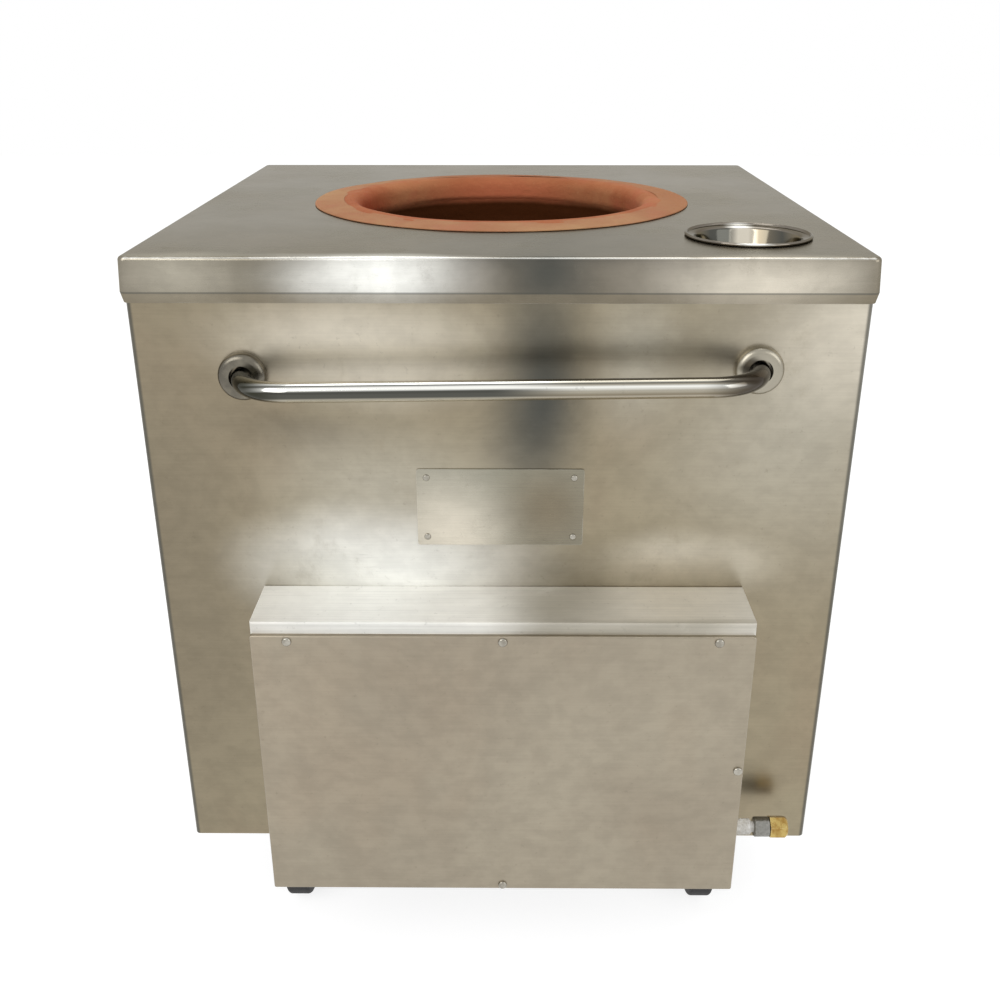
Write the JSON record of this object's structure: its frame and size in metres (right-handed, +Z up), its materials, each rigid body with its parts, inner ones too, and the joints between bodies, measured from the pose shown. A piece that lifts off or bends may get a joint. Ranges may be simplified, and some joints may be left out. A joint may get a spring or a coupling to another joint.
{
  "type": "gas clay tandoor oven",
  "caption": "Square stainless cabinet oven on swivel casters with a round clay pot opening in its deck, a front bar handle, a drop-in bowl and a screwed-on control box.",
  "frame": {"origin": "on the floor under the middle of the oven's outer box", "axes": "+Z up, -Y towards the front with the handle and control box, +X to the user's right"},
  "size_m": [0.822, 0.908, 0.931],
  "materials": {
    "stainless_satin": "satin",
    "stainless_polished": "polished",
    "zinc_steel": "satin",
    "taped_pipe": "satin",
    "fired_clay": "matte",
    "fire_mortar": "matte",
    "ceramic_fibre": "matte",
    "cast_iron": "matte",
    "brass": "satin",
    "copper": "satin",
    "aluminium_tube": "satin",
    "black_plastic": "matte",
    "red_plastic": "gloss",
    "tyre_rubber": "matte"
  },
  "bodies": {
    "oven": {"air_shutter": "zinc_steel", "base_frame": "zinc_steel", "base_plate": "zinc_steel", "burner_head": "cast_iron", "caster_bolts": "zinc_steel", "caster_plates": "zinc_steel", "caster_rails": "zinc_steel", "clay_pot": "fired_clay", "control_cover": "stainless_satin", "control_cowl": "stainless_satin", "corner_posts": "zinc_steel", "cover_screws": "stainless_polished", "flame_spreader": "cast_iron", "front_panel": "stainless_satin", "gas_cock": "brass", "gas_orifice": "brass", "handle_bar": "stainless_polished", "handle_flanges": "stainless_polished", "handle_nuts": "stainless_polished", "inlet_collar": "zinc_steel", "inlet_locknut": "zinc_steel", "inlet_nipple": "taped_pipe", "inlet_union": "brass", "insulation_jacket": "ceramic_fibre", "left_panel": "stainless_satin", "manifold_pipe": "zinc_steel", "mixing_tube": "cast_iron", "nameplate": "stainless_satin", "nameplate_screws": "stainless_polished", "panel_rivets": "stainless_polished", "pilot_burner": "zinc_steel", "pilot_tube": "aluminium_tube", "pot_stand": "zinc_steel", "rear_panel": "stainless_satin", "right_panel": "stainless_satin", "rim_collar": "fire_mortar", "safety_valve": "aluminium_tube", "thermocouple_lead": "copper", "top_deck": "stainless_satin"},
    "bowl": {"bowl": "stainless_polished"},
    "gas_knob": {"gas_knob": "black_plastic"},
    "reset_button": {"reset_button": "red_plastic"},
    "fork_front_left": {"fork_front_left": "zinc_steel", "axle_front_left": "zinc_steel"},
    "wheel_front_left": {"wheel_front_left": "black_plastic", "tread_front_left": "tyre_rubber"},
    "brake_front_left": {"brake_front_left": "zinc_steel"},
    "fork_front_right": {"fork_front_right": "zinc_steel", "axle_front_right": "zinc_steel"},
    "wheel_front_right": {"wheel_front_right": "black_plastic", "tread_front_right": "tyre_rubber"},
    "brake_front_right": {"brake_front_right": "zinc_steel"},
    "fork_rear_left": {"fork_rear_left": "zinc_steel", "axle_rear_left": "zinc_steel"},
    "wheel_rear_left": {"wheel_rear_left": "black_plastic", "tread_rear_left": "tyre_rubber"},
    "fork_rear_right": {"fork_rear_right": "zinc_steel", "axle_rear_right": "zinc_steel"},
    "wheel_rear_right": {"wheel_rear_right": "black_plastic", "tread_rear_right": "tyre_rubber"}
  },
  "joints": [
    {"name": "bowl_lift", "type": "slide", "parent": "oven", "child": "bowl", "axis": [0, 0, 1], "range_m": [0, 0.12]},
    {"name": "gas_knob_turn", "type": "hinge", "parent": "oven", "child": "gas_knob", "pos_m": [0.095, -0.399, 0.1905], "axis": [0, 0, 1], "range_deg": [0, 90]},
    {"name": "reset_press", "type": "slide", "parent": "oven", "child": "reset_button", "axis": [0, 0, 1], "range_m": [0, 0.005], "stiffness_N_per_m": 400, "springref_m": -0.002},
    {"name": "swivel_front_left", "type": "hinge", "parent": "oven", "child": "fork_front_left", "pos_m": [-0.282, -0.2345, 0.1451], "axis": [0, 0, 1], "continuous": true},
    {"name": "roll_front_left", "type": "hinge", "parent": "fork_front_left", "child": "wheel_front_left", "pos_m": [-0.282, -0.2725, 0.0635], "axis": [1, 0, 0], "continuous": true},
    {"name": "brake_front_left", "type": "hinge", "parent": "fork_front_left", "child": "brake_front_left", "pos_m": [-0.282, -0.2865, 0.134], "axis": [1, 0, 0], "range_deg": [0, 12]},
    {"name": "swivel_front_right", "type": "hinge", "parent": "oven", "child": "fork_front_right", "pos_m": [0.282, -0.2345, 0.1451], "axis": [0, 0, 1], "continuous": true},
    {"name": "roll_front_right", "type": "hinge", "parent": "fork_front_right", "child": "wheel_front_right", "pos_m": [0.282, -0.2725, 0.0635], "axis": [1, 0, 0], "continuous": true},
    {"name": "brake_front_right", "type": "hinge", "parent": "fork_front_right", "child": "brake_front_right", "pos_m": [0.282, -0.2865, 0.134], "axis": [1, 0, 0], "range_deg": [0, 12]},
    {"name": "swivel_rear_left", "type": "hinge", "parent": "oven", "child": "fork_rear_left", "pos_m": [-0.282, 0.3295, 0.1451], "axis": [0, 0, 1], "continuous": true},
    {"name": "roll_rear_left", "type": "hinge", "parent": "fork_rear_left", "child": "wheel_rear_left", "pos_m": [-0.282, 0.2915, 0.0635], "axis": [1, 0, 0], "continuous": true},
    {"name": "swivel_rear_right", "type": "hinge", "parent": "oven", "child": "fork_rear_right", "pos_m": [0.282, 0.3295, 0.1451], "axis": [0, 0, 1], "continuous": true},
    {"name": "roll_rear_right", "type": "hinge", "parent": "fork_rear_right", "child": "wheel_rear_right", "pos_m": [0.282, 0.2915, 0.0635], "axis": [1, 0, 0], "continuous": true}
  ]
}
